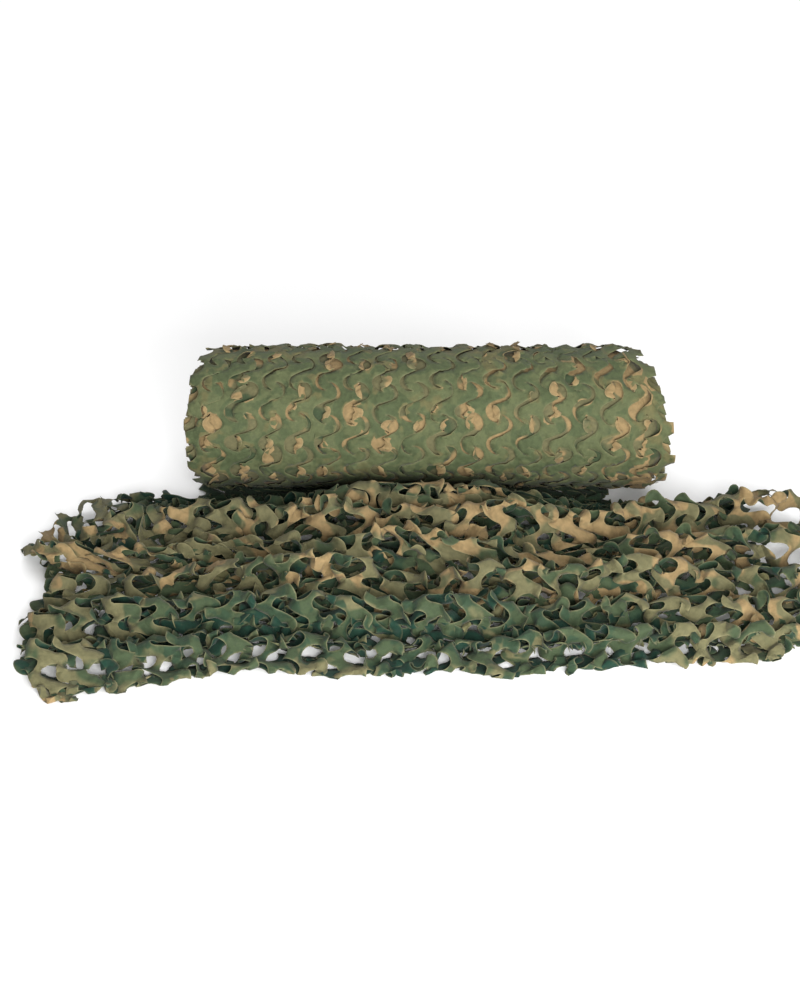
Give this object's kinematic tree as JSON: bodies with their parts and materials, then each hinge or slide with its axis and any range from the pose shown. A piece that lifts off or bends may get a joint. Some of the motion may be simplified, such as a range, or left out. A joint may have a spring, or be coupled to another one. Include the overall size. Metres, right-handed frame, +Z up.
{
  "type": "camouflage net roll",
  "caption": "Roll of incised camouflage netting, its free end drawn out from under the roll, pulled open and heaped in low folds.",
  "frame": {"origin": "middle of the small flat spot on which the roll rests, on the floor plane", "axes": "+X along the roll, -Y from the roll towards the loose end, +Z up"},
  "size_m": [2.4892, 1.593, 0.4521],
  "materials": {
    "camouflage_cloth": null
  },
  "bodies": {
    "root": {"net_roll": "camouflage_cloth", "net_loose": "camouflage_cloth"}
  },
  "joints": []
}
